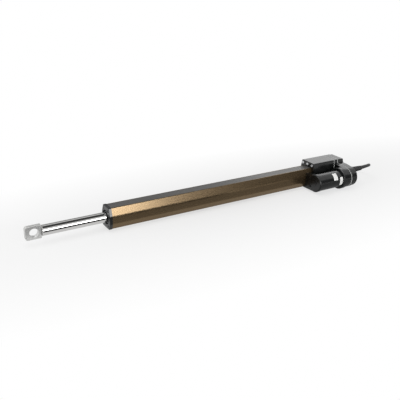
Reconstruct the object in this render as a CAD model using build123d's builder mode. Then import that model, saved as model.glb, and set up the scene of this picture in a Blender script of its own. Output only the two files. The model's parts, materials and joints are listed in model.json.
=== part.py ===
from build123d import *
import math
import os

# An electric lead-screw actuator with its motor beside the barrel, in millimetres.
# The rod extends along +X, the motor is on +Y, and +Z is up.
# The origin is the centre of the bore in the rear clevis. The rod is drawn 105 mm out.

os.makedirs("parts", exist_ok=True)

# Driving dimensions: the two eyes
eye_bore = 8.0
eye_thickness = 8.0
eye_height = 25.6
bore_chamfer = 0.75
rod_eye_x = 748.0
eye_back_x = 734.6
eye_front_x = 763.6
eye_corner = 4.5
clevis_plate_x = 9.0
clevis_plate_width = 36.0
clevis_plate_height = 30.0
clevis_plate_corner = 4.0
eye_edge = 0.4
eye_spigot = 20.0

# Driving dimensions: the sealed gear end
cover_x = 14.0
cover_wall = 3.0
cover_step_x = 24.0
cover_step = 0.8
cover_edge = 1.0
gasket_x = 32.5
gasket_thickness = 1.6
case_x = gasket_x + gasket_thickness
case_floor_x = 39.7
case_front_x = 43.7
case_radius = 25.5
lobe_fill_y = 33.0
lobe_fill_z = 17.2
lobe_fill_radius = 7.0
box_top = 32.8
box_skirt = 8.0
box_half_top = 19.5
box_half_skirt = 23.6
box_corner = 2.5
housing_x = case_front_x + gasket_thickness
housing_front_x = 109.0
housing_edge = 0.8
wire_slot = (7.0, 4.0, 30.0)

# Driving dimensions: the barrel and its front cap
barrel_bore = 15.0
barrel_flat = 21.0
barrel_half_section = [(11.8, barrel_flat), (17.4, 5.0), (17.6, -10.0), (14.0, -20.9)]
barrel_corner_radii = [1.0, 14.0, 9.0, 3.0]
barrel_end_x = 606.0
strip_width = 20.0
strip_thickness = 1.7
strip_gap = 0.4
port_radius = 1.65
port_places = [(9.2, 15.2), (-9.2, 15.2), (11.2, -15.0), (-11.2, -15.0)]
keyway_width = 6.0
keyway_depth = 1.7
cap_front_x = 612.0
cap_margin = 0.7
cap_edge = 0.8

# Driving dimensions: the rod, the nut and the screw
rod_radius = 10.0
rod_bore = 7.0
rod_end_chamfer = 1.0
rod_clearance = 0.6
slide_fit = 0.05
nut_x = 178.0
nut_socket_x = 206.0
nut_end_x = 228.0
nut_radius = barrel_bore - 0.1
screw_radius = 6.0
journal_radius = 4.0
journal_x = 19.8
shoulder_x = 60.4
screw_end_x = 560.0
bearing_x = 46.0
bearing_width = 7.0
bearing_radius = 11.0

# Driving dimensions: the motor, whose shaft is parallel to the screw
motor_y = 47.5
motor_z = -1.0
lobe_radius = 23.0
flange_radius = 24.5
flange_edge = 1.2
flange_x = 47.0
bell_x = 50.0
flange_end_x = 57.0
can_x = 73.0
can_end_x = 127.0
can_radius = 19.5
can_wall = 1.5
bell_radius = 19.3
seam_chamfer = 0.5
shaft_radius = 2.5
bracket_x = 121.0
bracket_web_x = 126.5
bracket_front_x = 129.0
bracket_radius = 20.3
bracket_rim = 2.4
bracket_hub_radius = 6.0
bracket_hub_height = 0.8

# Driving dimensions: the gear train. Both stages have the same small pinion.
module = 1.0
screw_teeth = 40
idler_teeth = 32
pinion_teeth = 12
pressure_angle = math.radians(20)
backlash = 0.16
wheel_addendum = 0.8
pinion_addendum = 1.0
root_clearance = 0.35
stage_one_x = 34.6
stage_one_width = 4.6
stage_two_x = 22.4
stage_two_width = 9.0
idler_pin_radius = 3.0

# Driving dimensions: screws and small fits
drive_radius = 1.1
drive_depth = 1.2
clevis_screw_radius = 2.0
clevis_head_radius = 3.2
clevis_head_height = 2.4
clevis_boss_radius = 4.0
clevis_screw_places = [(13, 10), (13, -10), (-13, 10), (-13, -10)]
boss_end_x = 21.5
cover_screw_radius = 1.5
cover_head_radius = 2.8
cover_head_sink = 1.5
cover_head_proud = 0.8
cover_boss_radius = 3.5
cover_screw_places = [(-16.8, 24.2), (16.8, 24.2), (63, 10), (59.5, -15.5)]
case_screw_head = 3.3
case_screw_sink = 1.8
case_screw_reach = 20.0
cap_screw_head = 3.4
cap_screw_sink = 2.0
cap_screw_reach = 14.0
housing_screw_radius = 1.5
housing_head_radius = 2.9
housing_head_sink = 0.8
housing_head_height = 2.4
housing_screw_z = 27.3
housing_screw_places = [-14.5, 0, 14.5]
motor_screw_radius = 1.5
motor_head_radius = 2.75
motor_head_height = 2.2
motor_screw_places = [(motor_y, motor_z + 12.5), (motor_y, motor_z - 12.5)]
bracket_screw_radius = 1.5
bracket_head_radius = 2.8
bracket_head_height = 1.8
bracket_screw_places = [(34.4, -12.1)]
bearing_gap = 0.2
boss_front_x = bearing_x + 2 * bearing_width + bearing_gap
retainer_width = 2.5
hub_radius = 6.5
idler_boss_radius = 5.0
idler_neck_radius = 4.8
rim_radius = 16.0
web_depth = 2.5
circlip_x = 20.9
circlip_width = 1.0
tip_bush_x = 552.0
tip_radius = 3.5

# Driving dimensions: what lies inside
board_bay_z = barrel_flat
board_z = 22.4
sensor_channel_z = 17.6
sensor_channel_width = 14.4
magnet_x = 192.0
magnet_z = 11.8
magnet_length = 12.0
bush_x = 579.0
wiper_x = 607.0
wiper_radius = 12.8
recess_x = 609.2
recess_radius = 14.0
bell_nose_radius = 8.0
bell_seat_end_x = 56.0
motor_seat_radius = 5.0
motor_bearing_width = 4.0
can_seat_x = can_end_x - can_wall - motor_bearing_width
magnets_x = 80.0
magnets_end_x = 118.0
magnets_inner = 14.2
armature_x = 82.0
armature_end_x = 114.0
armature_radius = 13.6
armature_slots = 8
commutator_x = 59.0
commutator_end_x = 69.0
commutator_radius = 6.0
brush_length = 10.2
brush_middle = commutator_radius + 0.3 + brush_length / 2
bracket_top_y = 12.0
bracket_top_z = 13.0
bracket_foot_y = 12.0
bracket_foot_z = -21.9
gland_seat_radius = 4.6
plug_start = 40.0
plug_end = 84.0
coil_tail_ring = 42.0

# Driving dimensions: the cord, from the gland to the coil on the floor
floor_z = -case_radius
cord_radius = 3.75
gland_y = 49.2
gland_z = 13.8
gland_end_x = -16.0
coil_x = -27.0
coil_y = -62.0
coil_inner = 31.5
coil_outer = 48.5
coil_height = 14.0
plug_angle = math.radians(300)
plug_radius = 7.5

cord_route = [
    (gland_end_x, gland_y, gland_z),
    (-32.0, 49.2, 15.4),
    (-48.5, 44.6, 14.2),
    (-62.0, 34.8, 9.3),
    (-70.6, 21.4, 1.8),
    (-73.0, 5.3, -7.2),
    (-72.0, -11.6, -15.6),
    (-70.0, -28.4, -20.7),
    (-68.2, -44.0, floor_z + cord_radius),
]

# The idler stands where both stages are in mesh, a little below the line of the two axes.
stage_two_centres = module * (screw_teeth + pinion_teeth) / 2
stage_one_centres = module * (idler_teeth + pinion_teeth) / 2
axis_distance = math.hypot(motor_y, motor_z)
axis_angle = math.atan2(motor_z, motor_y)
cosine = (stage_two_centres**2 + axis_distance**2 - stage_one_centres**2) / (
    2 * stage_two_centres * axis_distance
)
idler_angle = axis_angle - math.acos(cosine)
idler_y = stage_two_centres * math.cos(idler_angle)
idler_z = stage_two_centres * math.sin(idler_angle)
motor_angle = math.atan2(motor_z - idler_z, motor_y - idler_y)


def across(x, y=0.0, z=0.0):
    """A plane across the X axis, with its own x along Y and its own y along Z."""
    return Plane(origin=(x, y, z), x_dir=(0, 1, 0), z_dir=(1, 0, 0))


def round_bar(radius, start, end, y=0.0, z=0.0, mode=Mode.ADD):
    """A round bar along X, added to or cut from the part in hand."""
    with Locations(across(start, y, z)):
        Cylinder(radius, end - start, align=(Align.CENTER, Align.CENTER, Align.MIN), mode=mode)


def save(part, name):
    """Label a finished piece and write it under its own name."""
    part.label = name
    export_step(part, f"parts/{name}.step")


def shell_outline(x, inset=0.0):
    """The outline of the gear end without its top box: the hull of three circles."""
    with BuildSketch(across(x)) as outline:
        Circle(case_radius - inset)
        with Locations((motor_y, motor_z)):
            Circle(lobe_radius - inset)
        with Locations((lobe_fill_y, lobe_fill_z)):
            Circle(lobe_fill_radius - inset)
        make_hull()
    return outline.sketch


def box_outline(x, inset=0.0, bottom=box_skirt):
    """The top box that sits astride the barrel, with its upper corners rounded."""
    slope = (box_half_skirt - box_half_top) / (box_top - box_skirt)
    half_bottom = box_half_top + slope * (box_top - bottom) - inset
    with BuildSketch(across(x)) as outline:
        with BuildLine():
            Polyline(
                (-half_bottom, bottom),
                (half_bottom, bottom),
                (box_half_top - inset, box_top - inset),
                (inset - box_half_top, box_top - inset),
                close=True,
            )
        make_face()
        fillet(outline.vertices().group_by(Axis.Y)[-1], box_corner - inset / 2)
    return outline.sketch


def barrel_outline(x, margin=0.0):
    """The barrel's section: a flat top, sides that lean out and a flat foot."""
    half = barrel_half_section
    with BuildSketch(across(x)) as outline:
        with BuildLine():
            Polyline(*half, *[(-y, z) for y, z in reversed(half)], close=True)
        make_face()
        for (corner_y, corner_z), radius in zip(half, barrel_corner_radii):
            corners = outline.vertices().filter_by(
                lambda vertex: abs(abs(vertex.X) - corner_y) + abs(vertex.Y - corner_z) < 0.01
            )
            fillet(corners, radius)
        if margin:
            offset(amount=margin)
    return outline.sketch


def involute_point(base, radius, half_angle):
    """A point of a tooth flank at a radius, on the side where half_angle is positive."""
    roll = math.sqrt(max((radius / base) ** 2 - 1, 0))
    turn = half_angle - (roll - math.atan(roll))
    return (radius * math.cos(turn), radius * math.sin(turn))


def gear_outline(x, teeth, addendum, mate_addendum, first_tooth, y, z):
    """Involute teeth, with a tooth centred on the angle first_tooth."""
    pitch = module * teeth / 2
    base = pitch * math.cos(pressure_angle)
    tip = pitch + addendum
    root = pitch - mate_addendum - root_clearance
    start = max(base, root + 0.2)
    roll = math.tan(pressure_angle) - pressure_angle
    half_angle = math.pi / (2 * teeth) - backlash / (4 * pitch) + roll
    radii = [start + (tip - start) * step / 3 for step in range(4)]
    flank = [involute_point(base, radius, half_angle) for radius in radii]
    foot = flank[0]
    foot_angle = math.atan2(foot[1], foot[0])
    inside = ((root - 0.4) * math.cos(foot_angle), (root - 0.4) * math.sin(foot_angle))
    mirrored = [(px, -py) for px, py in reversed(flank)]
    with BuildSketch(across(x, y, z)) as outline:
        Circle(root)
        with PolarLocations(0, teeth, start_angle=math.degrees(first_tooth)):
            with BuildLine():
                Line(inside, flank[0])
                Spline(*flank)
                ThreePointArc(flank[-1], (tip, 0), mirrored[0])
                Spline(*mirrored)
                Line(mirrored[-1], (inside[0], -inside[1]))
                Line((inside[0], -inside[1]), inside)
            make_face()
    return outline.sketch


# Rear clevis: a tongue with a rounded end on a plate that is screwed to the cover
with BuildPart() as rear_clevis:
    with BuildSketch(Plane.XZ.offset(-eye_thickness / 2)):
        Circle(eye_height / 2)
        Rectangle(clevis_plate_x, eye_height, align=(Align.MIN, Align.CENTER))
    extrude(amount=eye_thickness)
    with BuildSketch(across(clevis_plate_x)):
        RectangleRounded(clevis_plate_width, clevis_plate_height, clevis_plate_corner)
    extrude(amount=cover_x - clevis_plate_x)
    for place_y, place_z in clevis_screw_places:
        round_bar(clevis_screw_radius, clevis_plate_x, cover_x, place_y, place_z, Mode.SUBTRACT)
    with BuildSketch(Plane.XZ.offset(-eye_thickness / 2)):
        Circle(eye_bore)
    extrude(amount=eye_thickness, mode=Mode.SUBTRACT)
    bore_rims = rear_clevis.edges().filter_by(GeomType.CIRCLE).filter_by(
        lambda edge: abs(edge.radius - eye_bore) < 0.01
    )
    chamfer(bore_rims, bore_chamfer)
save(rear_clevis.part, "rear_clevis")

# Clevis screws: four socket heads that hold the clevis plate to the cover
with BuildPart() as clevis_screws:
    for place_y, place_z in clevis_screw_places:
        head_x = clevis_plate_x - clevis_head_height
        round_bar(clevis_head_radius, head_x, clevis_plate_x, place_y, place_z)
        round_bar(drive_radius, head_x, head_x + drive_depth, place_y, place_z, Mode.SUBTRACT)
        round_bar(clevis_screw_radius, clevis_plate_x, boss_end_x - 0.5, place_y, place_z)
save(clevis_screws.part, "clevis_screws")

# Rear cover: a deep lid over the gears, with bosses for its screws and the idler pin
with BuildPart() as rear_cover:
    extrude(shell_outline(cover_x, cover_step), amount=cover_step_x - cover_x)
    extrude(box_outline(cover_x, cover_step), amount=cover_step_x - cover_x)
    chamfer(rear_cover.faces().sort_by(Axis.X)[0].edges(), cover_edge)
    extrude(shell_outline(cover_step_x), amount=gasket_x - cover_step_x)
    extrude(box_outline(cover_step_x), amount=gasket_x - cover_step_x)
    inner_x = cover_x + cover_wall
    extrude(shell_outline(inner_x, cover_wall), amount=gasket_x - inner_x, mode=Mode.SUBTRACT)
    extrude(box_outline(inner_x, cover_wall), amount=gasket_x - inner_x, mode=Mode.SUBTRACT)
    for place_y, place_z in cover_screw_places:
        round_bar(cover_boss_radius, inner_x, gasket_x, place_y, place_z)
        round_bar(cover_screw_radius, cover_x, gasket_x, place_y, place_z, Mode.SUBTRACT)
        round_bar(
            cover_head_radius, cover_x, cover_x + cover_head_sink, place_y, place_z, Mode.SUBTRACT
        )
    for place_y, place_z in clevis_screw_places:
        round_bar(clevis_boss_radius, inner_x, boss_end_x, place_y, place_z)
        round_bar(clevis_screw_radius, cover_x, boss_end_x - 0.5, place_y, place_z, Mode.SUBTRACT)
    round_bar(idler_boss_radius, inner_x, boss_end_x, idler_y, idler_z)
    round_bar(idler_pin_radius, inner_x - 1, boss_end_x, idler_y, idler_z, Mode.SUBTRACT)
    round_bar(gland_seat_radius, cover_x, inner_x, gland_y, gland_z, Mode.SUBTRACT)
save(rear_cover.part, "rear_cover")

# Cover screws: four pan heads that draw the cover onto the gear case
with BuildPart() as cover_screws:
    for place_y, place_z in cover_screw_places:
        head_x = cover_x - cover_head_proud
        shank_x = cover_x + cover_head_sink
        round_bar(cover_head_radius, head_x, shank_x, place_y, place_z)
        round_bar(cover_screw_radius, shank_x, case_front_x - 0.5, place_y, place_z)
        round_bar(drive_radius, head_x, head_x + drive_depth, place_y, place_z, Mode.SUBTRACT)
save(cover_screws.part, "cover_screws")

# Rear gasket: the pale seal between the cover and the gear case
with BuildPart() as rear_gasket:
    extrude(shell_outline(gasket_x), amount=gasket_thickness)
    extrude(box_outline(gasket_x), amount=gasket_thickness)
    extrude(shell_outline(gasket_x, cover_wall), amount=gasket_thickness, mode=Mode.SUBTRACT)
    extrude(
        box_outline(gasket_x, cover_wall, barrel_flat + 1),
        amount=gasket_thickness,
        mode=Mode.SUBTRACT,
    )
    for place_y, place_z in cover_screw_places:
        round_bar(
            cover_screw_radius, gasket_x, case_x, place_y, place_z, Mode.SUBTRACT
        )
save(rear_gasket.part, "rear_gasket")

# Gear case: carries the idler pin, the screw's bearings and the motor, and plugs the barrel
with BuildPart() as gear_case:
    extrude(shell_outline(case_x), amount=case_front_x - case_x)
    extrude(box_outline(case_x), amount=case_front_x - case_x)
    with BuildSketch(Plane.XY.offset(motor_z)):
        with BuildLine():
            Polyline(
                (case_floor_x, motor_y),
                (case_floor_x, motor_y + lobe_radius - 0.1),
                (flange_x, motor_y + lobe_radius - 0.1),
                (flange_x, motor_y + flange_radius),
                (flange_end_x - flange_edge, motor_y + flange_radius),
                (flange_end_x, motor_y + flange_radius - flange_edge),
                (flange_end_x, motor_y),
                close=True,
            )
        make_face()
    revolve(axis=Axis((0, motor_y, motor_z), (1, 0, 0)))
    with BuildSketch(across(case_front_x)):
        with Locations((0, box_top)):
            Rectangle(2 * box_half_skirt + 0.2, 40, align=(Align.CENTER, Align.MAX))
    extrude(amount=flange_end_x - case_front_x, mode=Mode.SUBTRACT)
    round_bar(nut_radius, case_front_x, boss_front_x)
    extrude(
        shell_outline(case_x, cover_wall), amount=case_floor_x - case_x, mode=Mode.SUBTRACT
    )
    for place_y, place_z in cover_screw_places:
        round_bar(cover_boss_radius, case_x, case_floor_x, place_y, place_z)
        round_bar(cover_screw_radius, case_x, case_front_x - 0.5, place_y, place_z, Mode.SUBTRACT)
    for place_y, place_z in port_places:
        with Locations(across(case_floor_x, place_y, place_z)):
            Cone(
                case_screw_head,
                port_radius,
                case_screw_sink,
                align=(Align.CENTER, Align.CENTER, Align.MIN),
                mode=Mode.SUBTRACT,
            )
        round_bar(port_radius, case_floor_x, case_front_x, place_y, place_z, Mode.SUBTRACT)
    for place_y in housing_screw_places:
        round_bar(
            housing_screw_radius, case_x + 3, case_front_x, place_y, housing_screw_z, Mode.SUBTRACT
        )
    round_bar(hub_radius + 1, case_floor_x, bearing_x, mode=Mode.SUBTRACT)
    round_bar(bearing_radius, bearing_x, boss_front_x, mode=Mode.SUBTRACT)
    round_bar(idler_pin_radius, case_floor_x, case_front_x - 1, idler_y, idler_z, Mode.SUBTRACT)
    round_bar(bell_radius, bell_x, flange_end_x, motor_y, motor_z, Mode.SUBTRACT)
    round_bar(bell_nose_radius, case_floor_x, bell_x, motor_y, motor_z, Mode.SUBTRACT)
    for place_y, place_z in motor_screw_places:
        round_bar(motor_screw_radius, case_floor_x, bell_x, place_y, place_z, Mode.SUBTRACT)
    with Locations(across(case_x, 7.2, 26.5)):
        Box(*wire_slot, mode=Mode.SUBTRACT)
save(gear_case.part, "gear_case")

# Case screws: countersunk, through the case floor into the barrel's ports
with BuildPart() as case_screws:
    for place_y, place_z in port_places:
        with Locations(across(case_floor_x, place_y, place_z)):
            Cone(
                case_screw_head,
                port_radius,
                case_screw_sink,
                align=(Align.CENTER, Align.CENTER, Align.MIN),
            )
        tip_x = case_front_x + case_screw_reach
        round_bar(port_radius, case_floor_x + 0.5, tip_x, place_y, place_z)
        drive_x = case_floor_x + drive_depth
        round_bar(drive_radius, case_floor_x, drive_x, place_y, place_z, Mode.SUBTRACT)
save(case_screws.part, "case_screws")

# Motor screws: two cheese heads in the gear case that hold the motor's end bell
with BuildPart() as motor_screws:
    for place_y, place_z in motor_screw_places:
        head_x = case_floor_x - motor_head_height
        round_bar(motor_head_radius, head_x, case_floor_x, place_y, place_z)
        round_bar(motor_screw_radius, case_floor_x, bell_x + 2.5, place_y, place_z)
        round_bar(drive_radius, head_x, head_x + drive_depth, place_y, place_z, Mode.SUBTRACT)
save(motor_screws.part, "motor_screws")

# Front gasket: the pale seal between the gear case and the saddle housing
with BuildPart() as front_gasket:
    extrude(box_outline(case_front_x), amount=gasket_thickness)
    extrude(barrel_outline(case_front_x), amount=gasket_thickness, mode=Mode.SUBTRACT)
    extrude(
        box_outline(case_front_x, cover_wall, board_bay_z),
        amount=gasket_thickness,
        mode=Mode.SUBTRACT,
    )
    for place_y in housing_screw_places:
        round_bar(
            housing_screw_radius,
            case_front_x,
            housing_x,
            place_y,
            housing_screw_z,
            Mode.SUBTRACT,
        )
save(front_gasket.part, "front_gasket")

# Saddle housing: a box astride the barrel, with the board bay inside
with BuildPart() as rear_housing:
    extrude(box_outline(housing_x), amount=housing_front_x - housing_x)
    front_edges = rear_housing.faces().sort_by(Axis.X)[-1].edges().sort_by(Axis.Z)[1:]
    chamfer(front_edges, housing_edge)
    extrude(
        barrel_outline(housing_x), amount=housing_front_x - housing_x, mode=Mode.SUBTRACT
    )
    extrude(
        box_outline(housing_x, cover_wall, board_bay_z),
        amount=housing_front_x - cover_wall - housing_x,
        mode=Mode.SUBTRACT,
    )
    for place_y in housing_screw_places:
        round_bar(
            housing_screw_radius,
            housing_x,
            housing_front_x,
            place_y,
            housing_screw_z,
            Mode.SUBTRACT,
        )
        round_bar(
            housing_head_radius,
            housing_front_x - housing_head_sink,
            housing_front_x,
            place_y,
            housing_screw_z,
            Mode.SUBTRACT,
        )
save(rear_housing.part, "rear_housing")

# Housing screws: three long screws from the front wall back into the gear case
with BuildPart() as housing_screws:
    for place_y in housing_screw_places:
        seat_x = housing_front_x - housing_head_sink
        head_x = seat_x + housing_head_height
        drive_x = head_x - drive_depth
        round_bar(housing_screw_radius, case_x + 3, seat_x, place_y, housing_screw_z)
        round_bar(housing_head_radius, seat_x, head_x, place_y, housing_screw_z)
        round_bar(drive_radius, drive_x, head_x, place_y, housing_screw_z, Mode.SUBTRACT)
save(housing_screws.part, "housing_screws")

# Control board: lies on the barrel's flat in the saddle housing, below its screws
with BuildPart() as control_board:
    with Locations((77, 0, board_z)):
        Box(54, 34, 1.6, align=(Align.CENTER, Align.CENTER, Align.MIN))
    with Locations((62, 0, barrel_flat), (92, 0, barrel_flat)):
        Box(4, 20, board_z - barrel_flat, align=(Align.CENTER, Align.CENTER, Align.MIN))
    with Locations((64, 7.2, board_z + 1.6), (80, -7.2, board_z + 1.6)):
        Box(12, 9, 2.6, align=(Align.CENTER, Align.CENTER, Align.MIN))
    with Locations((84, 7.2, board_z + 1.6), (94, 7.2, board_z + 1.6)):
        Cylinder(3.2, 2.4, align=(Align.CENTER, Align.CENTER, Align.MIN))
save(control_board.part, "control_board")

# Barrel: an extrusion with a strip groove, a sensor channel, screw ports and a keyway
with BuildPart() as barrel:
    extrude(barrel_outline(case_front_x), amount=barrel_end_x - case_front_x)
    with BuildSketch(across(case_front_x)):
        with Locations((0, barrel_flat - strip_thickness)):
            Rectangle(strip_width + strip_gap, 10, align=(Align.CENTER, Align.MIN))
        with Locations((0, sensor_channel_z)):
            Rectangle(sensor_channel_width, 10, align=(Align.CENTER, Align.MIN))
        Circle(barrel_bore)
        with Locations((0, -barrel_bore - keyway_depth)):
            Rectangle(keyway_width, 5, align=(Align.CENTER, Align.MIN))
        with Locations(*port_places):
            Circle(port_radius)
    extrude(amount=barrel_end_x - case_front_x, mode=Mode.SUBTRACT)
save(barrel.part, "barrel")

# Cover strip: closes the groove along the top of the barrel
with BuildPart() as cover_strip:
    with BuildSketch(across(housing_x)):
        with Locations((0, barrel_flat)):
            Rectangle(strip_width, strip_thickness, align=(Align.CENTER, Align.MAX))
    extrude(amount=barrel_end_x - housing_x)
    top_edges = cover_strip.edges().filter_by(Axis.X).group_by(Axis.Z)[-1]
    chamfer(top_edges, 0.3)
save(cover_strip.part, "cover_strip")

# Sensor board: a long narrow board under the strip, with field sensors along it
with BuildPart() as sensor_board:
    with BuildSketch(across(housing_x + 10)):
        with Locations((0, sensor_channel_z)):
            Rectangle(sensor_channel_width - strip_gap, 1.0, align=(Align.CENTER, Align.MIN))
    extrude(amount=barrel_end_x - housing_x - 30)
    with GridLocations(60, 1, 9, 1):
        with Locations((barrel_end_x / 2 + 15, 0, sensor_channel_z + 1.0)):
            Box(4, 5, 0.5, align=(Align.CENTER, Align.CENTER, Align.MIN))
save(sensor_board.part, "sensor_board")

# Front cap: the collar at the barrel's mouth, with a recess round the rod
with BuildPart() as front_cap:
    extrude(barrel_outline(barrel_end_x, cap_margin), amount=cap_front_x - barrel_end_x)
    chamfer(front_cap.faces().sort_by(Axis.X)[-1].edges(), cap_edge)
    round_bar(rod_radius + rod_clearance, barrel_end_x, cap_front_x, mode=Mode.SUBTRACT)
    round_bar(wiper_radius, wiper_x, cap_front_x, mode=Mode.SUBTRACT)
    round_bar(recess_radius, recess_x, cap_front_x, mode=Mode.SUBTRACT)
    for place_y, place_z in port_places:
        with Locations(across(cap_front_x - cap_screw_sink, place_y, place_z)):
            Cone(
                port_radius,
                cap_screw_head,
                cap_screw_sink,
                align=(Align.CENTER, Align.CENTER, Align.MIN),
                mode=Mode.SUBTRACT,
            )
        round_bar(port_radius, barrel_end_x, cap_front_x, place_y, place_z, Mode.SUBTRACT)
save(front_cap.part, "front_cap")

# Cap screws: four countersunk screws into the barrel's ports
with BuildPart() as cap_screws:
    for place_y, place_z in port_places:
        with Locations(across(cap_front_x - cap_screw_sink, place_y, place_z)):
            Cone(
                port_radius,
                cap_screw_head,
                cap_screw_sink,
                align=(Align.CENTER, Align.CENTER, Align.MIN),
            )
        tip_x = barrel_end_x - cap_screw_reach
        drive_x = cap_front_x - drive_depth
        round_bar(port_radius, tip_x, cap_front_x - 1.5, place_y, place_z)
        round_bar(drive_radius, drive_x, cap_front_x, place_y, place_z, Mode.SUBTRACT)
save(cap_screws.part, "cap_screws")

# Wiper seal: a ring in the recess whose lip leans on the rod
with BuildPart() as wiper_seal:
    with BuildSketch(Plane.XZ):
        with BuildLine():
            Polyline(
                (wiper_x, rod_radius + rod_clearance),
                (wiper_x, wiper_radius),
                (recess_x + 0.8, wiper_radius),
                (recess_x + 0.8, rod_radius + 2.2),
                (recess_x + 2.2, rod_radius + 1.0),
                (recess_x + 2.2, rod_radius + slide_fit),
                (recess_x + 1.2, rod_radius + slide_fit),
                close=True,
            )
        make_face()
    revolve(axis=Axis.X)
save(wiper_seal.part, "wiper_seal")

# Front guide bush: fills the barrel's mouth and guides the rod
with BuildPart() as front_guide_bush:
    round_bar(barrel_bore, bush_x, barrel_end_x)
    round_bar(rod_radius + slide_fit, bush_x, barrel_end_x, mode=Mode.SUBTRACT)
    with BuildSketch(Plane.XZ):
        with Locations((bush_x + 8, barrel_bore), (bush_x + 17, barrel_bore)):
            Rectangle(2.5, 2.4)
    revolve(axis=Axis.X, mode=Mode.SUBTRACT)
save(front_guide_bush.part, "front_guide_bush")

# Rod: a chromed tube, open at the nut's end and plugged by the eye at the other
with BuildPart() as rod_tube:
    round_bar(rod_radius, nut_socket_x, eye_back_x)
    chamfer(rod_tube.faces().sort_by(Axis.X)[-1].edges(), rod_end_chamfer)
    round_bar(rod_bore, nut_socket_x, eye_back_x, mode=Mode.SUBTRACT)
save(rod_tube.part, "rod_tube")

# Rod eye: a flat plate with a round spigot that is fixed in the rod
with BuildPart() as rod_eye:
    with BuildSketch(Plane.XZ.offset(-eye_thickness / 2)) as eye_plate:
        with Locations(((eye_back_x + eye_front_x) / 2, 0)):
            Rectangle(eye_front_x - eye_back_x, eye_height)
        fillet(eye_plate.vertices().group_by(Axis.X)[-1], eye_corner)
        fillet(eye_plate.vertices().group_by(Axis.X)[0], 1.5)
    extrude(amount=eye_thickness)
    chamfer(rod_eye.faces().filter_by(Axis.Y).edges(), eye_edge)
    round_bar(rod_bore, eye_back_x - eye_spigot, eye_back_x)
    with BuildSketch(Plane.XZ.offset(-eye_thickness / 2)):
        with Locations((rod_eye_x, 0)):
            Circle(eye_bore)
    extrude(amount=eye_thickness, mode=Mode.SUBTRACT)
    bore_rims = rod_eye.edges().filter_by(GeomType.CIRCLE).filter_by(
        lambda edge: abs(edge.radius - eye_bore) < 0.01
    )
    chamfer(bore_rims, bore_chamfer)
save(rod_eye.part, "rod_eye")

# Drive nut: a piston with a key that keeps it from turning, fixed on the rod
with BuildPart() as drive_nut:
    round_bar(nut_radius, nut_x, nut_end_x)
    with BuildSketch(across(nut_x)):
        with Locations((0, 0.2 - barrel_bore - keyway_depth)):
            Rectangle(keyway_width - 0.2, 6, align=(Align.CENTER, Align.MIN))
    extrude(amount=nut_end_x - nut_x)
    chamfer(drive_nut.faces().sort_by(Axis.X)[0].edges(), 0.8)
    round_bar(screw_radius + slide_fit, nut_x, nut_socket_x, mode=Mode.SUBTRACT)
    round_bar(rod_radius, nut_socket_x, nut_end_x, mode=Mode.SUBTRACT)
    with Locations((magnet_x, 0, magnet_z)):
        Box(magnet_length, 6, 6, align=(Align.CENTER, Align.CENTER, Align.MIN), mode=Mode.SUBTRACT)
save(drive_nut.part, "drive_nut")

# Nut magnet: what the sensors along the barrel feel
with BuildPart() as nut_magnet:
    with Locations((magnet_x, 0, magnet_z)):
        Box(magnet_length, 6, 2.6, align=(Align.CENTER, Align.CENTER, Align.MIN))
save(nut_magnet.part, "nut_magnet")

# Lead screw: the threaded length, a journal for bearings and gear, and a short tip
with BuildPart() as lead_screw:
    round_bar(screw_radius, shoulder_x, tip_bush_x)
    chamfer(lead_screw.edges().filter_by(GeomType.CIRCLE), 0.6)
    round_bar(journal_radius, journal_x, shoulder_x)
    round_bar(tip_radius, tip_bush_x, screw_end_x)
    with BuildSketch(Plane.XZ):
        with Locations((circlip_x + circlip_width / 2, journal_radius)):
            Rectangle(circlip_width, 1.2)
    revolve(axis=Axis.X, mode=Mode.SUBTRACT)
save(lead_screw.part, "lead_screw")

# Screw tip bush: keeps the screw's free end in the middle of the rod
with BuildPart() as screw_tip_bush:
    round_bar(rod_bore - slide_fit, tip_bush_x, tip_bush_x + 6)
    round_bar(tip_radius, tip_bush_x, tip_bush_x + 6, mode=Mode.SUBTRACT)
save(screw_tip_bush.part, "screw_tip_bush")

# Screw bearings: two sealed ball bearings, with the seals' shallow grooves
with BuildPart() as screw_bearings:
    for start in (bearing_x, bearing_x + bearing_width + bearing_gap):
        round_bar(bearing_radius, start, start + bearing_width)
        round_bar(journal_radius + 0.04, start, start + bearing_width, mode=Mode.SUBTRACT)
        with BuildSketch(Plane.XZ):
            with Locations((start + 0.15, 7.7), (start + bearing_width - 0.15, 7.7)):
                Rectangle(0.3, 3.6)
        revolve(axis=Axis.X, mode=Mode.SUBTRACT)
save(screw_bearings.part, "screw_bearings")

# Bearing retainer: a ring on the case's boss that holds the bearings in
with BuildPart() as bearing_retainer:
    round_bar(nut_radius, boss_front_x, boss_front_x + retainer_width)
    round_bar(screw_radius + 1.2, boss_front_x, boss_front_x + retainer_width, mode=Mode.SUBTRACT)
save(bearing_retainer.part, "bearing_retainer")

# Screw gear: a wheel with a thin web and a long hub that reaches the bearing
with BuildPart() as screw_gear:
    extrude(
        gear_outline(
            stage_two_x, screw_teeth, wheel_addendum, pinion_addendum, idler_angle, 0, 0
        ),
        amount=stage_two_width,
    )
    for start in (stage_two_x, stage_two_x + stage_two_width - web_depth):
        round_bar(rim_radius, start, start + web_depth, mode=Mode.SUBTRACT)
        round_bar(hub_radius, start, start + web_depth)
    with BuildSketch(across(stage_two_x)):
        with PolarLocations((rim_radius + hub_radius) / 2, 6):
            Circle(2.8)
    extrude(amount=stage_two_width, mode=Mode.SUBTRACT)
    round_bar(hub_radius, stage_two_x + stage_two_width, bearing_x)
    round_bar(journal_radius, stage_two_x, bearing_x, mode=Mode.SUBTRACT)
save(screw_gear.part, "screw_gear")

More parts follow.
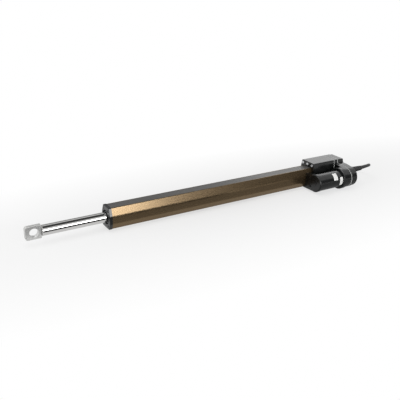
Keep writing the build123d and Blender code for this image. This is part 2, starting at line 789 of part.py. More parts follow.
# Screw circlip: a split ring in the journal's groove
with BuildPart() as screw_circlip:
    round_bar(5.2, circlip_x, circlip_x + circlip_width)
    round_bar(journal_radius - 0.6, circlip_x, circlip_x + circlip_width, mode=Mode.SUBTRACT)
    with Locations((circlip_x, 0, 4.4)):
        Box(4, 2.4, 4, mode=Mode.SUBTRACT)
save(screw_circlip.part, "screw_circlip")

# Idler gear: a pinion in mesh with the screw gear, in one piece with a wheel
with BuildPart() as idler_gear:
    extrude(
        gear_outline(
            stage_two_x,
            pinion_teeth,
            pinion_addendum,
            wheel_addendum,
            idler_angle + math.pi + math.pi / pinion_teeth,
            idler_y,
            idler_z,
        ),
        amount=stage_two_width,
    )
    round_bar(idler_neck_radius, stage_two_x + stage_two_width, stage_one_x, idler_y, idler_z)
    extrude(
        gear_outline(
            stage_one_x,
            idler_teeth,
            wheel_addendum,
            pinion_addendum,
            motor_angle,
            idler_y,
            idler_z,
        ),
        amount=stage_one_width,
    )
    round_bar(
        idler_pin_radius + 0.04,
        stage_two_x,
        stage_one_x + stage_one_width,
        idler_y,
        idler_z,
        Mode.SUBTRACT,
    )
save(idler_gear.part, "idler_gear")

# Idler pin: fixed in the cover's boss and the case's floor
with BuildPart() as idler_pin:
    round_bar(idler_pin_radius, cover_x + cover_wall - 1, case_front_x - 1, idler_y, idler_z)
    chamfer(idler_pin.edges().filter_by(GeomType.CIRCLE), 0.4)
save(idler_pin.part, "idler_pin")

# Motor pinion: fixed on the motor's shaft, in mesh with the idler's wheel
with BuildPart() as motor_pinion:
    extrude(
        gear_outline(
            stage_one_x,
            pinion_teeth,
            pinion_addendum,
            wheel_addendum,
            motor_angle + math.pi + math.pi / pinion_teeth,
            motor_y,
            motor_z,
        ),
        amount=stage_one_width,
    )
    round_bar(
        shaft_radius, stage_one_x, stage_one_x + stage_one_width, motor_y, motor_z, Mode.SUBTRACT
    )
save(motor_pinion.part, "motor_pinion")

# Motor end bell: a cup with a bearing seat, closed by the can
with BuildPart() as motor_end_bell:
    round_bar(bell_radius, bell_x, can_x, motor_y, motor_z)
    chamfer(motor_end_bell.faces().sort_by(Axis.X)[-1].edges(), seam_chamfer)
    round_bar(bell_nose_radius, case_floor_x + 3, bell_x, motor_y, motor_z)
    round_bar(bell_radius - 2.5, bell_x + 2.5, can_x, motor_y, motor_z, Mode.SUBTRACT)
    round_bar(motor_seat_radius + 1.6, bell_x, bell_seat_end_x, motor_y, motor_z)
    round_bar(motor_seat_radius, bell_x, bell_seat_end_x, motor_y, motor_z, Mode.SUBTRACT)
    round_bar(shaft_radius + 0.8, case_floor_x, bell_x, motor_y, motor_z, Mode.SUBTRACT)
    for place_y, place_z in motor_screw_places:
        round_bar(motor_screw_radius, bell_x, bell_x + 2.5, place_y, place_z, Mode.SUBTRACT)
save(motor_end_bell.part, "motor_end_bell")

# Motor can: a drawn tube with a closed end and a bearing seat
with BuildPart() as motor_can:
    round_bar(can_radius, can_x, can_end_x, motor_y, motor_z)
    chamfer(motor_can.faces().sort_by(Axis.X)[0].edges(), seam_chamfer)
    round_bar(can_radius - can_wall, can_x, can_end_x - can_wall, motor_y, motor_z, Mode.SUBTRACT)
    round_bar(motor_seat_radius + 1.5, can_seat_x, can_end_x - can_wall, motor_y, motor_z)
    round_bar(motor_seat_radius, can_seat_x, can_end_x - can_wall, motor_y, motor_z, Mode.SUBTRACT)
    for place_y, place_z in bracket_screw_places:
        round_bar(
            bracket_screw_radius,
            can_end_x - can_wall,
            can_end_x,
            place_y,
            place_z,
            Mode.SUBTRACT,
        )
save(motor_can.part, "motor_can")

# Motor magnets: two curved blocks inside the can
with BuildPart() as motor_magnets:
    round_bar(can_radius - can_wall, magnets_x, magnets_end_x, motor_y, motor_z)
    round_bar(magnets_inner, magnets_x, magnets_end_x, motor_y, motor_z, Mode.SUBTRACT)
    with Locations(across(magnets_x, motor_y, motor_z)):
        Box(7, 50, 100, mode=Mode.SUBTRACT)
save(motor_magnets.part, "motor_magnets")

# Motor armature: a slotted stack of plates on the shaft
with BuildPart() as motor_armature:
    with BuildSketch(across(armature_x, motor_y, motor_z)):
        Circle(armature_radius)
        with PolarLocations(armature_radius - 3.2, armature_slots):
            SlotOverall(5.6, 3.0, mode=Mode.SUBTRACT)
        with PolarLocations(armature_radius, armature_slots):
            Rectangle(3.2, 1.2, mode=Mode.SUBTRACT)
        Circle(shaft_radius, mode=Mode.SUBTRACT)
    extrude(amount=armature_end_x - armature_x)
save(motor_armature.part, "motor_armature")

# Motor windings: copper that fills the slots and bulges at both ends of the stack
with BuildPart() as motor_windings:
    with BuildSketch(across(armature_x, motor_y, motor_z)):
        with PolarLocations(armature_radius - 3.2, armature_slots):
            SlotOverall(5.6, 3.0)
    extrude(amount=armature_end_x - armature_x)
    for start in (armature_x - 4, armature_end_x):
        round_bar(armature_radius - 1.2, start, start + 4, motor_y, motor_z)
        round_bar(shaft_radius + 1.5, start, start + 4, motor_y, motor_z, Mode.SUBTRACT)
save(motor_windings.part, "motor_windings")

# Motor commutator: a ring with its copper bars parted by fine grooves
with BuildPart() as motor_commutator:
    with BuildSketch(across(commutator_x, motor_y, motor_z)):
        Circle(commutator_radius)
        with PolarLocations(commutator_radius, armature_slots):
            Rectangle(1.2, 0.4, mode=Mode.SUBTRACT)
        Circle(shaft_radius, mode=Mode.SUBTRACT)
    extrude(amount=commutator_end_x - commutator_x)
save(motor_commutator.part, "motor_commutator")

# Motor shaft: from the pinion to the bearing in the can's end
with BuildPart() as motor_shaft:
    round_bar(shaft_radius, stage_one_x, can_end_x - can_wall - 0.5, motor_y, motor_z)
    chamfer(motor_shaft.edges().filter_by(GeomType.CIRCLE), 0.3)
save(motor_shaft.part, "motor_shaft")

# Motor brushes: two carbon blocks in holders on the end bell's wall
with BuildPart() as motor_brushes:
    with Locations(across((commutator_x + commutator_end_x) / 2, motor_y, motor_z)):
        with Locations((0, brush_middle), (0, -brush_middle)):
            Box(5, brush_length, 6)
save(motor_brushes.part, "motor_brushes")

# Motor bearings: one in the end bell and one in the can's closed end
with BuildPart() as motor_bearings:
    for start in (bell_x, can_seat_x):
        round_bar(motor_seat_radius, start, start + motor_bearing_width, motor_y, motor_z)
        round_bar(
            shaft_radius + 0.04,
            start,
            start + motor_bearing_width,
            motor_y,
            motor_z,
            Mode.SUBTRACT,
        )
save(motor_bearings.part, "motor_bearings")

# Motor bracket: a round cup over the can's end, on a web that hugs the barrel
with BuildPart() as motor_bracket:
    round_bar(bracket_radius, bracket_x, bracket_front_x, motor_y, motor_z)
    fillet(motor_bracket.faces().sort_by(Axis.X)[-1].edges(), bracket_rim)
    with BuildSketch(across(bracket_x)):
        with BuildLine():
            Line((bracket_top_y, bracket_top_z), (bracket_foot_y, bracket_foot_z))
        with Locations((motor_y, motor_z)):
            Circle(bracket_radius)
        make_hull()
    extrude(amount=bracket_web_x - bracket_x)
    extrude(
        barrel_outline(bracket_x), amount=bracket_front_x - bracket_x, mode=Mode.SUBTRACT
    )
    round_bar(can_radius, bracket_x, can_end_x, motor_y, motor_z, Mode.SUBTRACT)
    hub_x = bracket_front_x + bracket_hub_height
    round_bar(bracket_hub_radius, bracket_front_x, hub_x, motor_y, motor_z)
    for place_y, place_z in bracket_screw_places:
        round_bar(bracket_screw_radius, can_end_x, bracket_front_x, place_y, place_z, Mode.SUBTRACT)
save(motor_bracket.part, "motor_bracket")

# Bracket screws: pan heads that hold the bracket's cup to the can
with BuildPart() as bracket_screws:
    for place_y, place_z in bracket_screw_places:
        round_bar(bracket_screw_radius, can_end_x - can_wall, bracket_front_x, place_y, place_z)
        head_x = bracket_front_x + bracket_head_height
        drive_x = head_x - drive_depth
        round_bar(bracket_head_radius, bracket_front_x, head_x, place_y, place_z)
        round_bar(drive_radius, drive_x, head_x, place_y, place_z, Mode.SUBTRACT)
save(bracket_screws.part, "bracket_screws")

# Cable gland: a flanged sleeve through the cover, tapered along the cord
with BuildPart() as cable_gland:
    with BuildSketch(Plane.XZ.offset(-gland_y)):
        with BuildLine():
            Polyline(
                (cover_x + 5, gland_z),
                (cover_x + 5, gland_z + gland_seat_radius),
                (cover_x, gland_z + gland_seat_radius),
                (cover_x, gland_z + 7.0),
                (cover_x - 3, gland_z + 7.0),
                (cover_x - 3, gland_z + 6.0),
                (gland_end_x, gland_z + cord_radius + 0.9),
                (gland_end_x, gland_z),
                close=True,
            )
        make_face()
    revolve(axis=Axis((0, gland_y, gland_z), (1, 0, 0)))
save(cable_gland.part, "cable_gland")

# The cord's end leaves the coil along a tangent, level with the floor
plug_origin = (
    coil_x + coil_tail_ring * math.cos(plug_angle),
    coil_y + coil_tail_ring * math.sin(plug_angle),
    floor_z + plug_radius,
)
plug_axis = Plane(
    origin=plug_origin,
    x_dir=(math.cos(plug_angle), math.sin(plug_angle), 0),
    z_dir=(-math.sin(plug_angle), math.cos(plug_angle), 0),
)

# Cable coil: the outer shape of the cord's turns, two layers high on the floor
with BuildPart() as cable_coil:
    with BuildSketch(Plane.XY.offset(floor_z)):
        with Locations((coil_x, coil_y)):
            Circle(coil_outer)
            Circle(coil_inner, mode=Mode.SUBTRACT)
    extrude(amount=coil_height)
save(cable_coil.part, "cable_coil")

# Cable: from the gland down to the floor and into the coil, and its tail from coil to plug
run_lengths = [math.dist(a, b) for a, b in zip(cord_route, cord_route[1:])]
directions = [
    Vector(*b) - Vector(*a) for a, b in zip(cord_route, cord_route[1:])
]
turns = [a.get_angle(b) for a, b in zip(directions, directions[1:])]
cord_bends = [
    0.45 * min(a, b) / math.tan(math.radians(turn) / 2)
    for a, b, turn in zip(run_lengths, run_lengths[1:], turns)
]
print("cord runs", [round(run, 1) for run in run_lengths])
print("cord turns", [round(turn, 1) for turn in turns])
print("cord radii", [round(bend, 1) for bend in cord_bends])

with BuildPart() as cable:
    with BuildLine() as cord_line:
        FilletPolyline(*cord_route, radius=cord_bends)
    cord_path = cord_line.wires()[0]
    with BuildSketch(Plane(origin=cord_path @ 0, z_dir=cord_path % 0)):
        Circle(cord_radius)
    sweep(path=cord_path)
    expected = cord_path.length * math.pi * cord_radius**2
    print("cord volume", round(cable.part.volume, 1), "expected", round(expected, 1))
    print("cord length in view", round(cord_path.length, 1))
    with BuildSketch(plug_axis):
        Circle(cord_radius)
    extrude(amount=plug_start)
    add(cable_coil.part, mode=Mode.SUBTRACT)
save(cable.part, "cable")

# Cable plug: a moulded plug that leaves the coil along its outer turn
with BuildPart() as cable_plug:
    with BuildSketch(Plane(origin=plug_axis.origin, x_dir=plug_axis.x_dir, z_dir=(0, 0, 1))):
        with BuildLine():
            Polyline(
                (0, plug_start),
                (cord_radius + 0.8, plug_start),
                (plug_radius - 1.5, plug_start + 16),
                (plug_radius, plug_start + 17),
                (plug_radius, plug_end - 12),
                (plug_radius - 0.8, plug_end - 12),
                (plug_radius - 0.8, plug_end),
                (plug_radius - 2.0, plug_end),
                (plug_radius - 2.0, plug_end - 10),
                (0, plug_end - 10),
                close=True,
            )
        make_face()
    revolve(axis=Axis(plug_axis.origin, plug_axis.z_dir))
save(cable_plug.part, "cable_plug")

# Plug pins: four contacts inside the plug's shell
with BuildPart() as plug_pins:
    pin_plane = Plane(
        origin=Vector(*plug_origin) + plug_axis.z_dir * (plug_end - 10),
        x_dir=plug_axis.x_dir,
        z_dir=plug_axis.z_dir,
    )
    with BuildSketch(pin_plane):
        with PolarLocations(3.0, 4):
            Circle(0.7)
    extrude(amount=8)
save(plug_pins.part, "plug_pins")
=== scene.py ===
import json
import math

import bpy
from mathutils import Matrix, Vector


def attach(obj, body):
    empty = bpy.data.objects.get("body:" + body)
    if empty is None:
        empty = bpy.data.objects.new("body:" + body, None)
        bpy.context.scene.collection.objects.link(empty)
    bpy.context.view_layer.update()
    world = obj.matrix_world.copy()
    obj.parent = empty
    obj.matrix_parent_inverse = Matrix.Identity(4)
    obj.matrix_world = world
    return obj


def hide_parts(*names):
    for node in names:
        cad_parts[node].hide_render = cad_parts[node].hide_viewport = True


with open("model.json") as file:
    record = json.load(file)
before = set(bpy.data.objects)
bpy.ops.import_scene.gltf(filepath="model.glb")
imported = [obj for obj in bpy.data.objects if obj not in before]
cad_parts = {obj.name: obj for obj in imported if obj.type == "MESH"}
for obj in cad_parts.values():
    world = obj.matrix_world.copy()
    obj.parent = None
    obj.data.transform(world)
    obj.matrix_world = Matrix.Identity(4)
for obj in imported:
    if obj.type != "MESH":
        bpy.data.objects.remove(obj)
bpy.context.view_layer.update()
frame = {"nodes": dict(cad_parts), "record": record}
nodes = frame["nodes"]

# The motor's axis and the cord's section, in metres, as the construction has them
motor_y = 0.0475
motor_z = -0.001
cord_radius = 0.00375
floor_z = -0.0255

# The camera stands in front of the rod's end, to the motor's side and above
camera_place = Vector((0.99176, 0.88450, 0.44493))
camera_right = Vector((-0.84121, 0.53910, 0.04166))
camera_view = Vector((-0.51031, -0.76610, -0.39074))
photo_width = 400.0
focal_pixels = 560.0


def make_camera():
    """The camera at the photograph's angle."""
    data = bpy.data.cameras.new("camera")
    data.sensor_width = 36.0
    data.lens = focal_pixels * data.sensor_width / photo_width
    data.clip_start = 0.01
    data.clip_end = 50.0
    camera = bpy.data.objects.new("camera", data)
    bpy.context.scene.collection.objects.link(camera)
    back = -camera_view.normalized()
    up = back.cross(camera_right).normalized()
    right = up.cross(back).normalized()
    turn = Matrix((right, up, back)).transposed().to_4x4()
    camera.matrix_world = Matrix.Translation(camera_place) @ turn
    bpy.context.scene.camera = camera


make_camera()


# The cord: down from the gland behind the motor, then round a coil on the floor

cord_route = [
    (-0.0160, 0.0492, 0.0138),
    (-0.0320, 0.0492, 0.0154),
    (-0.0485, 0.0446, 0.0142),
    (-0.0620, 0.0348, 0.0093),
    (-0.0706, 0.0214, 0.0018),
    (-0.0730, 0.0053, -0.0072),
    (-0.0720, -0.0116, -0.0156),
    (-0.0700, -0.0284, -0.0207),
    (-0.0682, -0.0440, -0.02175),
]
coil_centre = (-0.027, -0.062)
coil_start = 180
coil_turn = 1200
points_per_turn = 18
outer_ring = 0.0444
inner_ring = 0.0366
upper_ring = 0.0404
lower_level = floor_z + cord_radius
upper_level = lower_level + 0.0067
tail_angle = math.radians(300)
tail_ring = 0.042


def smooth(value, start, end):
    """A smooth step from 0 to 1 between start and end."""
    share = min(max((value - start) / (end - start), 0), 1)
    return share * share * (3 - 2 * share)


def coil_points():
    """Two turns side by side on the floor, then one on top of them."""
    points = []
    count = int(coil_turn / 360 * points_per_turn)
    for index in range(1, count):
        turned = coil_turn * index / count
        ring = outer_ring + (inner_ring - outer_ring) * smooth(turned, 290, 350)
        ring += (upper_ring - inner_ring) * smooth(turned, 640, 720)
        height = lower_level + (upper_level - lower_level) * smooth(turned, 640, 710)
        angle = math.radians(coil_start + turned)
        points.append(
            (
                coil_centre[0] + ring * math.cos(angle),
                coil_centre[1] + ring * math.sin(angle),
                height,
            )
        )
    return points


def tail_points():
    """The end crosses the outer turn and comes down to the plug on the floor."""
    points = []
    for along, height in ((0.008, -0.0148), (0.020, -0.0144), (0.031, -0.0172), (0.042, -0.0180)):
        points.append(
            (
                coil_centre[0] + tail_ring * math.cos(tail_angle) - along * math.sin(tail_angle),
                coil_centre[1] + tail_ring * math.sin(tail_angle) + along * math.cos(tail_angle),
                height,
            )
        )
    return points


def make_cord():
    """The cord is one smooth line with a round section."""
    curve = bpy.data.curves.new("cord", "CURVE")
    curve.dimensions = "3D"
    spline = curve.splines.new("NURBS")
    points = cord_route + coil_points() + tail_points()
    spline.points.add(len(points) - 1)
    for point, place in zip(spline.points, points):
        point.co = (*place, 1.0)
        point.radius = cord_radius
    spline.order_u = 3
    spline.use_endpoint_u = True
    spline.resolution_u = 6
    curve.bevel_depth = 1.0
    curve.bevel_resolution = 6
    curve.use_fill_caps = True
    cord = bpy.data.objects.new("cord", curve)
    bpy.context.scene.collection.objects.link(cord)
    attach(cord, "housing")
    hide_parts("cable", "cable_coil")
    return cord


cord = make_cord()


# Rings round the strain relief, which narrows from the cover to the cord

gland_y = 0.0492
gland_z = 0.0138
gland_root = (0.0110, 0.0060)
gland_tip = (-0.0160, 0.00465)
rib_count = 9
rib_radius = 0.0007


def make_ribs():
    """Rings of one section, half sunk in the strain relief, as one piece."""
    rings = []
    for index in range(rib_count):
        share = (index + 0.6) / rib_count
        place = gland_root[0] + (gland_tip[0] - gland_root[0]) * share
        radius = gland_root[1] + (gland_tip[1] - gland_root[1]) * share
        bpy.ops.object.select_all(action="DESELECT")
        bpy.ops.mesh.primitive_torus_add(
            major_segments=40,
            minor_segments=12,
            major_radius=radius,
            minor_radius=rib_radius,
            location=(place, gland_y, gland_z),
            rotation=(0, math.radians(90), 0),
        )
        rings.append(bpy.context.active_object)
    bpy.ops.object.select_all(action="DESELECT")
    for ring in rings:
        ring.select_set(True)
    bpy.context.view_layer.objects.active = rings[0]
    bpy.ops.object.join()
    bpy.ops.object.transform_apply(location=True, rotation=True, scale=True)
    ribs = bpy.context.active_object
    ribs.name = "gland_ribs"
    bpy.ops.object.shade_smooth_by_angle(angle=math.radians(60))
    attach(ribs, "housing")
    return ribs


gland_ribs = make_ribs()


# Two blank labels on the motor, on its tube and on its end bell

label_steps = 20
label_corner = 0.0012
label_thickness = 0.00015
tube_radius = 0.0195
bell_radius = 0.0193


def make_label(name, start, end, low_angle, high_angle, radius):
    """A thin curved patch on the motor, with rounded corners: an edge spun about the axis."""
    first = math.radians(low_angle)
    mesh = bpy.data.meshes.new(name)
    ends = [
        (x, motor_y + radius * math.cos(first), motor_z + radius * math.sin(first))
        for x in (start, end)
    ]
    mesh.from_pydata(ends, [(0, 1)], [])
    label = bpy.data.objects.new(name, mesh)
    bpy.context.scene.collection.objects.link(label)
    bpy.ops.object.select_all(action="DESELECT")
    bpy.context.view_layer.objects.active = label
    label.select_set(True)
    bpy.ops.object.mode_set(mode="EDIT")
    bpy.ops.mesh.select_all(action="SELECT")
    bpy.ops.mesh.spin(
        steps=label_steps,
        angle=math.radians(high_angle - low_angle),
        center=(0, motor_y, motor_z),
        axis=(-1, 0, 0),
    )
    bpy.ops.object.mode_set(mode="OBJECT")
    for vertex in mesh.vertices:
        vertex.select = len([edge for edge in mesh.edges if vertex.index in edge.vertices]) == 2
    bpy.ops.object.mode_set(mode="EDIT")
    bpy.ops.mesh.bevel(offset=label_corner, segments=4, affect="VERTICES")
    bpy.ops.mesh.select_all(action="SELECT")
    bpy.ops.mesh.normals_make_consistent(inside=False)
    bpy.ops.object.mode_set(mode="OBJECT")
    outward = sum(
        face.normal.y * (face.center.y - motor_y) + face.normal.z * (face.center.z - motor_z)
        for face in mesh.polygons
    )
    if outward < 0:
        mesh.flip_normals()
    film = label.modifiers.new("film", "SOLIDIFY")
    film.thickness = label_thickness
    film.offset = 1.0
    bpy.ops.object.modifier_apply(modifier="film")
    bpy.ops.object.shade_smooth_by_angle(angle=math.radians(30))
    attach(label, "housing")
    return label


tube_label = make_label("tube_label", 0.0738, 0.0858, 16, 67, tube_radius)
bell_label = make_label("bell_label", 0.0585, 0.0670, -26, 31, bell_radius)


# Finishes: every material is a small tree of nodes, written as sums


class Flow:
    """One value on its way through a finish's nodes, on which Python's operators work."""

    def __init__(self, finish, socket):
        self.finish = finish
        self.socket = socket

    def _sum(self, operation, first, second):
        made = self.finish.node("ShaderNodeMath", {"operation": operation}, {0: first, 1: second})
        return Flow(self.finish, made.outputs[0])

    def __add__(self, other):
        return self._sum("ADD", self, other)

    __radd__ = __add__

    def __mul__(self, other):
        return self._sum("MULTIPLY", self, other)

    __rmul__ = __mul__


class Finish:
    """A material with one principled shader."""

    def __init__(self, name):
        self.data = bpy.data.materials.new(name)
        self.data.use_nodes = True
        self.tree = self.data.node_tree
        self.tree.nodes.clear()
        self.place = Flow(self, self.node("ShaderNodeTexCoord").outputs["Object"])

    def node(self, kind, settings=None, values=None):
        """A node with its settings, then the values or links of its sockets."""
        made = self.tree.nodes.new(kind)
        for name, value in (settings or {}).items():
            setattr(made, name, value)
        for name, value in (values or {}).items():
            if isinstance(value, Flow):
                self.tree.links.new(value.socket, made.inputs[name])
            elif isinstance(value, tuple) and made.inputs[name].type == "RGBA":
                made.inputs[name].default_value = (*value, 1.0)
            else:
                made.inputs[name].default_value = value
        return made

    def noise(self, scale, stretch=(1, 1, 1), detail=3.0, roughness=0.55):
        """Soft noise in metres, drawn out along the axes where stretch is small."""
        mapping = self.node("ShaderNodeMapping", None, {"Vector": self.place, "Scale": stretch})
        made = self.node(
            "ShaderNodeTexNoise",
            None,
            {
                "Vector": Flow(self, mapping.outputs[0]),
                "Scale": scale,
                "Detail": detail,
                "Roughness": roughness,
            },
        )
        return Flow(self, made.outputs["Fac"])

    def spread(self, value, low, high, start=0.0, end=1.0):
        """The value carried from the range low to high onto start to end, and kept there."""
        made = self.node(
            "ShaderNodeMapRange",
            None,
            {"Value": value, "From Min": low, "From Max": high, "To Min": start, "To Max": end},
        )
        return Flow(self, made.outputs[0])

    def blend(self, share, first, second):
        """Two colours mixed by a share."""
        made = self.node("ShaderNodeMix", {"data_type": "RGBA"})
        for socket, value in ((0, share), (6, first), (7, second)):
            if isinstance(value, Flow):
                self.tree.links.new(value.socket, made.inputs[socket])
            elif socket:
                made.inputs[socket].default_value = (*value, 1.0)
            else:
                made.inputs[socket].default_value = value
        return Flow(self, made.outputs[2])

    def tones(self, noise, first, second):
        """Two close colours, shared out by a noise."""
        return self.blend(self.spread(noise, 0.3, 0.7), first, second)

    def bump(self, height, depth):
        """Relief of a depth in metres."""
        values = {"Height": height, "Strength": 1.0, "Distance": depth}
        made = self.node("ShaderNodeBump", None, values)
        return Flow(self, made.outputs[0])

    def done(self, **values):
        """Closes the tree with the shader and its values."""
        names = {}
        for name, value in values.items():
            names[name.replace("_", " ").title().replace("Ior", "IOR")] = value
        shader = self.node("ShaderNodeBsdfPrincipled", None, names)
        out = self.node("ShaderNodeOutputMaterial")
        self.tree.links.new(shader.outputs[0], out.inputs[0])
        return self.data


def bronze_anodised():
    """Anodised extrusion: fine lines along the barrel and a faint cloudiness."""
    made = Finish("bronze anodised")
    lines = made.noise(900, (0.01, 1, 1), 2.0)
    clouds = made.noise(18, (0.25, 1, 1), 3.0)
    colour = made.tones(clouds, (0.142, 0.098, 0.053), (0.164, 0.115, 0.064))
    rough = 0.23 + 0.05 * lines + 0.03 * clouds
    return made.done(
        base_color=colour,
        metallic=0.85,
        roughness=rough,
        normal=made.bump(lines, 0.000005),
    )


def black_paint():
    """Matt black paint on a casting, with a fine pebbled skin."""
    made = Finish("black paint")
    grain = made.noise(1400, (1, 1, 1), 2.0)
    clouds = made.noise(60)
    colour = made.tones(clouds, (0.0040, 0.0045, 0.0045), (0.0070, 0.0075, 0.0075))
    rough = 0.18 + 0.06 * grain + 0.03 * clouds
    return made.done(base_color=colour, roughness=rough, normal=made.bump(grain, 0.000006))


def black_plastic():
    """Moulded black plastic with a fine grain."""
    made = Finish("black plastic")
    grain = made.noise(2200, (1, 1, 1), 2.0)
    clouds = made.noise(45)
    colour = made.tones(clouds, (0.0045, 0.0050, 0.0050), (0.0080, 0.0085, 0.0085))
    rough = 0.17 + 0.05 * grain + 0.03 * clouds
    return made.done(base_color=colour, roughness=rough, normal=made.bump(grain, 0.000005))


def strip_plastic():
    """Dark grey strip, drawn lengthways."""
    made = Finish("strip plastic")
    lines = made.noise(700, (0.02, 1, 1), 2.0)
    clouds = made.noise(25, (0.3, 1, 1))
    colour = made.tones(clouds, (0.075, 0.072, 0.068), (0.095, 0.091, 0.086))
    rough = 0.33 + 0.15 * lines
    return made.done(base_color=colour, roughness=rough, normal=made.bump(lines, 0.00002))


def gasket_rubber():
    """Pale grey sealing rubber."""
    made = Finish("gasket rubber")
    grain = made.noise(1800)
    clouds = made.noise(70)
    colour = made.tones(clouds, (0.40, 0.41, 0.40), (0.48, 0.49, 0.48))
    return made.done(
        base_color=colour, roughness=0.62 + 0.1 * grain, normal=made.bump(grain, 0.00003)
    )


def black_rubber():
    """Soft black sheath with a dull shine."""
    made = Finish("black rubber")
    grain = made.noise(1500)
    clouds = made.noise(80)
    colour = made.tones(clouds, (0.014, 0.014, 0.015), (0.022, 0.022, 0.023))
    return made.done(
        base_color=colour, roughness=0.45 + 0.15 * grain, normal=made.bump(grain, 0.00003)
    )


def chrome_plate():
    """Hard chrome with the faintest grinding marks round the rod."""
    made = Finish("chrome plate")
    marks = made.noise(1800, (1, 0.05, 0.05), 2.0)
    clouds = made.noise(40, (0.2, 1, 1))
    colour = made.tones(clouds, (0.54, 0.535, 0.525), (0.60, 0.595, 0.585))
    rough = 0.03 + 0.03 * marks
    return made.done(base_color=colour, metallic=1.0, roughness=rough)


def machined_steel():
    """Bright steel, blasted on its faces."""
    made = Finish("machined steel")
    grain = made.noise(1600)
    clouds = made.noise(90)
    colour = made.tones(clouds, (0.60, 0.60, 0.59), (0.68, 0.68, 0.67))
    rough = 0.30 + 0.14 * grain
    return made.done(
        base_color=colour, metallic=0.9, roughness=rough, normal=made.bump(grain, 0.00001)
    )


def screw_zinc():
    """Zinc-plated screws."""
    made = Finish("screw zinc")
    grain = made.noise(1200)
    colour = made.tones(grain, (0.66, 0.67, 0.68), (0.78, 0.79, 0.80))
    return made.done(base_color=colour, metallic=0.8, roughness=0.30 + 0.15 * grain)


def plain_finish(name, low, high, rough, metallic=0.0):
    """A finish for what lies inside: two close colours and a fine grain."""
    made = Finish(name)
    grain = made.noise(300)
    colour = made.tones(grain, low, high)
    return made.done(
        base_color=colour,
        metallic=metallic,
        roughness=rough + 0.12 * grain,
        normal=made.bump(grain, 0.00002),
    )


def label_film():
    """White label film with nothing printed on it."""
    made = Finish("label film")
    grain = made.noise(900)
    colour = made.tones(grain, (0.80, 0.80, 0.78), (0.86, 0.86, 0.84))
    return made.done(base_color=colour, roughness=0.42 + 0.1 * grain)


finishes = {
    "bronze_anodised": bronze_anodised(),
    "black_cast": black_paint(),
    "black_plastic": black_plastic(),
    "strip_grey": strip_plastic(),
    "gasket_grey": gasket_rubber(),
    "black_rubber": black_rubber(),
    "chrome": chrome_plate(),
    "machined_steel": machined_steel(),
    "screw_steel": screw_zinc(),
    "white_polymer": plain_finish("white polymer", (0.70, 0.70, 0.66), (0.78, 0.78, 0.74), 0.4),
    "board_green": plain_finish("board green", (0.02, 0.14, 0.06), (0.03, 0.18, 0.08), 0.35),
    "magnet_grey": plain_finish("magnet grey", (0.05, 0.05, 0.055), (0.08, 0.08, 0.085), 0.5),
    "stack_steel": plain_finish("stack steel", (0.20, 0.20, 0.20), (0.28, 0.28, 0.28), 0.4, 0.8),
    "copper": plain_finish("copper", (0.55, 0.22, 0.09), (0.68, 0.30, 0.14), 0.25, 1.0),
}


def dress(piece, finish):
    """Gives a piece one finish all over."""
    piece.data.materials.clear()
    piece.data.materials.append(finish)


for part in frame["record"]["subparts"]:
    dress(nodes[part["node"]], finishes[part["material_slot"]])
dress(cord, finishes["black_rubber"])
film_finish = label_film()
dress(tube_label, film_finish)
dress(bell_label, film_finish)
dark_screws = plain_finish("black oxide", (0.020, 0.020, 0.021), (0.035, 0.035, 0.036), 0.3, 0.3)
dress(nodes["bracket_screws"], dark_screws)
dress(nodes["cap_screws"], dark_screws)
dress(gland_ribs, finishes["black_rubber"])


# The room: a pale floor, a white sky, soft lamps, and cards that the chrome shows

floor_size = 12.0
floor_gap = 0.0002
near_floor = 0.03
far_floor = 0.30
near_white = 0.60
sky_light = 0.42

# Each lamp's place, the point it faces, its width, height and power
lamps = {
    "key lamp": ((0.24, 1.30, 0.36), (0.5, 0.0, 0.0), 0.62, 0.40, 8.0),
    "top lamp": ((0.9, 0.1, 1.5), (0.4, 0.0, 0.0), 1.2, 0.9, 8.0),
}

# Each card's place, the point it faces, its width, height and brightness
cards = {
    "near card": ((0.55, 0.10, -0.0055), (0.55, 0.0, -0.0055), 0.5, 0.039, 0.003),
    "floor card": ((0.35, 0.17, -0.0250), (0.35, 0.17, 1.0), 1.3, 0.26, 0.34),
    "side card": ((-1.55, 1.25, 0.55), (-1.55, 0.0, 0.55), 2.4, 1.1, 0.14),
    "high card": ((-0.45, 0.2, 1.9), (-0.45, 0.2, 0.0), 1.6, 1.9, 0.07),
    "back card": ((-0.25, -1.6, 1.0), (-0.25, 0.0, 1.0), 1.3, 1.9, 0.38),
    "bright card": ((-1.60, -1.30, 1.15), (0.1, 0.0, 0.0), 1.3, 1.1, 1.9),
}


def seen_rays(tree):
    """One where the camera, a mirror or glass looks, and zero for plain light."""
    path = tree.nodes.new("ShaderNodeLightPath")
    total = path.outputs["Is Camera Ray"]
    for name in ("Is Glossy Ray", "Is Transmission Ray"):
        most = tree.nodes.new("ShaderNodeMath")
        most.operation = "MAXIMUM"
        tree.links.new(total, most.inputs[0])
        tree.links.new(path.outputs[name], most.inputs[1])
        total = most.outputs[0]
    return total


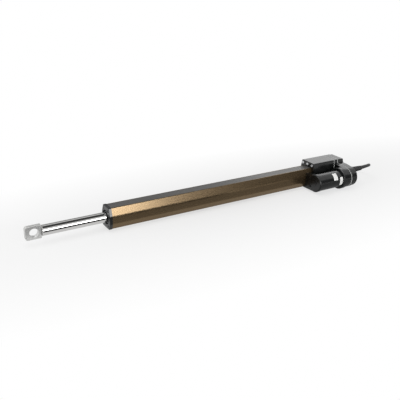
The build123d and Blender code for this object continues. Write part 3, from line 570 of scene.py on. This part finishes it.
def make_floor():
    """A wide pale floor that goes over into the white of the sky further out."""
    bpy.ops.object.select_all(action="DESELECT")
    bpy.ops.mesh.primitive_plane_add(size=floor_size, location=(0.3, 0.0, floor_z - floor_gap))
    floor = bpy.context.active_object
    floor.name = "floor"
    made = Finish("floor")
    grain = made.noise(3)
    colour = made.blend(grain, (0.80, 0.80, 0.80), (0.82, 0.82, 0.82))
    dress(floor, made.done(base_color=colour, roughness=0.9, specular_ior_level=0.0))
    tree = made.tree
    lit = [item for item in tree.nodes if item.type == "BSDF_PRINCIPLED"][0]
    out = [item for item in tree.nodes if item.type == "OUTPUT_MATERIAL"][0]
    drawn = made.node("ShaderNodeMapping", None, {"Vector": made.place, "Scale": (0.3, 1.0, 1.0)})
    away = made.node(
        "ShaderNodeVectorMath", {"operation": "LENGTH"}, {0: Flow(made, drawn.outputs[0])}
    )
    distance = Flow(made, away.outputs["Value"])
    share = made.spread(distance, near_floor, far_floor, near_white, 1.0)
    seen = Flow(made, seen_rays(tree))
    white = made.node("ShaderNodeEmission", None, {"Color": (1.0, 1.0, 1.0), "Strength": 1.0})
    mix = made.node("ShaderNodeMixShader", None, {0: share * seen})
    tree.links.new(lit.outputs[0], mix.inputs[1])
    tree.links.new(white.outputs[0], mix.inputs[2])
    tree.links.new(mix.outputs[0], out.inputs[0])


def make_sky():
    """Soft grey light from all round, white where the camera or a mirror sees it."""
    world = bpy.data.worlds.new("sky")
    bpy.context.scene.world = world
    world.use_nodes = True
    tree = world.node_tree
    tree.nodes.clear()
    light = tree.nodes.new("ShaderNodeBackground")
    light.inputs["Color"].default_value = (1.0, 1.0, 1.0, 1.0)
    light.inputs["Strength"].default_value = sky_light
    seen = tree.nodes.new("ShaderNodeBackground")
    seen.inputs["Color"].default_value = (1.0, 1.0, 1.0, 1.0)
    seen.inputs["Strength"].default_value = 1.0
    mix = tree.nodes.new("ShaderNodeMixShader")
    out = tree.nodes.new("ShaderNodeOutputWorld")
    tree.links.new(seen_rays(tree), mix.inputs[0])
    tree.links.new(light.outputs[0], mix.inputs[1])
    tree.links.new(seen.outputs[0], mix.inputs[2])
    tree.links.new(mix.outputs[0], out.inputs[0])


def make_lamp(name, place, aim, width, height, power):
    """A rectangular soft lamp that faces a point."""
    data = bpy.data.lights.new(name, "AREA")
    data.shape = "RECTANGLE"
    data.size = width
    data.size_y = height
    data.energy = power
    lamp = bpy.data.objects.new(name, data)
    bpy.context.scene.collection.objects.link(lamp)
    lamp.location = place
    lamp.rotation_mode = "QUATERNION"
    lamp.rotation_quaternion = (Vector(aim) - Vector(place)).to_track_quat("-Z", "Y")


def make_card(name, place, aim, width, height, grey):
    """A card that stands off the object, for what shines to reflect, out of the picture."""
    bpy.ops.object.select_all(action="DESELECT")
    bpy.ops.mesh.primitive_grid_add(x_subdivisions=2, y_subdivisions=2, size=1.0)
    card = bpy.context.active_object
    card.name = name
    turn = (Vector(aim) - Vector(place)).to_track_quat("Z", "Y").to_matrix().to_4x4()
    size = Matrix.Diagonal((width, height, 1.0, 1.0))
    card.data.transform(Matrix.Translation(place) @ turn @ size)
    made = Finish(name)
    grain = made.noise(4)
    colour = made.blend(grain, (grey, grey, grey), (grey * 1.1, grey * 1.1, grey * 1.1))
    dress(
        card,
        made.done(
            base_color=(0.0, 0.0, 0.0),
            roughness=0.95,
            specular_ior_level=0.0,
            emission_color=colour,
            emission_strength=1.0,
        ),
    )
    card.visible_camera = False
    card.visible_diffuse = False
    card.visible_shadow = False


make_floor()
make_sky()
for name, (place, aim, width, height, power) in lamps.items():
    make_lamp(name, place, aim, width, height, power)
for name, (place, aim, width, height, grey) in cards.items():
    make_card(name, place, aim, width, height, grey)

bpy.context.scene.view_settings.view_transform = "Standard"
